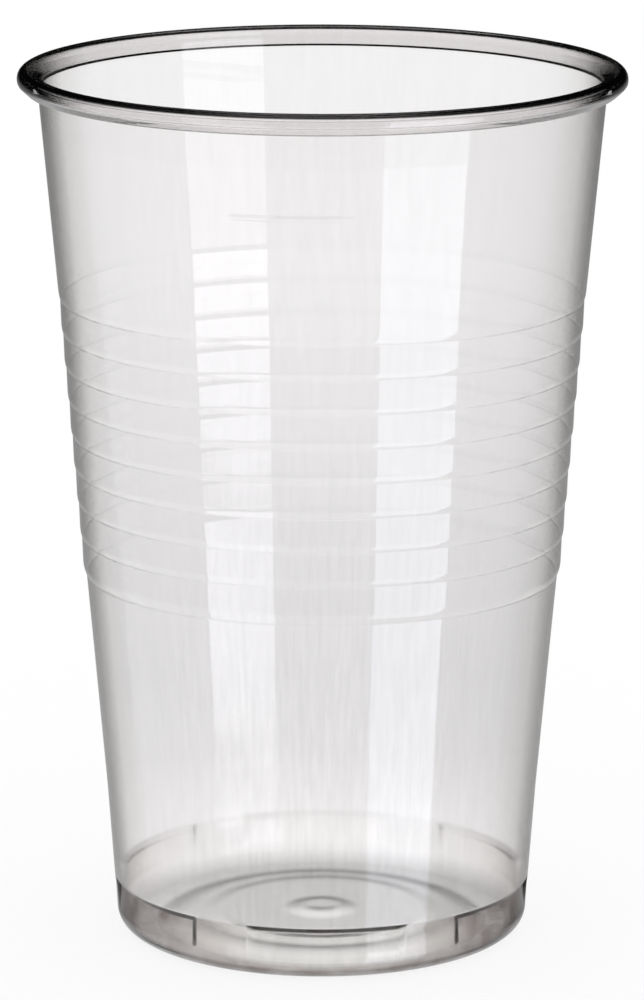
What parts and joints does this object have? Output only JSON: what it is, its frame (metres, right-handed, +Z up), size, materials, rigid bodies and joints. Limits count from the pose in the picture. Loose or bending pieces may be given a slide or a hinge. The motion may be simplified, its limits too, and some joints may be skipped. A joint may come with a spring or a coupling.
{
  "type": "plastic disposable cup",
  "caption": "Tapered clear drinking cup formed from one thin plastic sheet, with a rolled rim, a band of fine grip steps and a foot of pressed stacking panels.",
  "frame": {"origin": "on the table, under the middle of the foot", "axes": "+Z up along the cup's axis; -Y is the front, where one of the foot panels faces"},
  "size_m": [0.079, 0.079, 0.115],
  "materials": {
    "clear_polystyrene": "clear, glossy as formed"
  },
  "bodies": {
    "root": {"cup": "clear_polystyrene"}
  },
  "joints": []
}
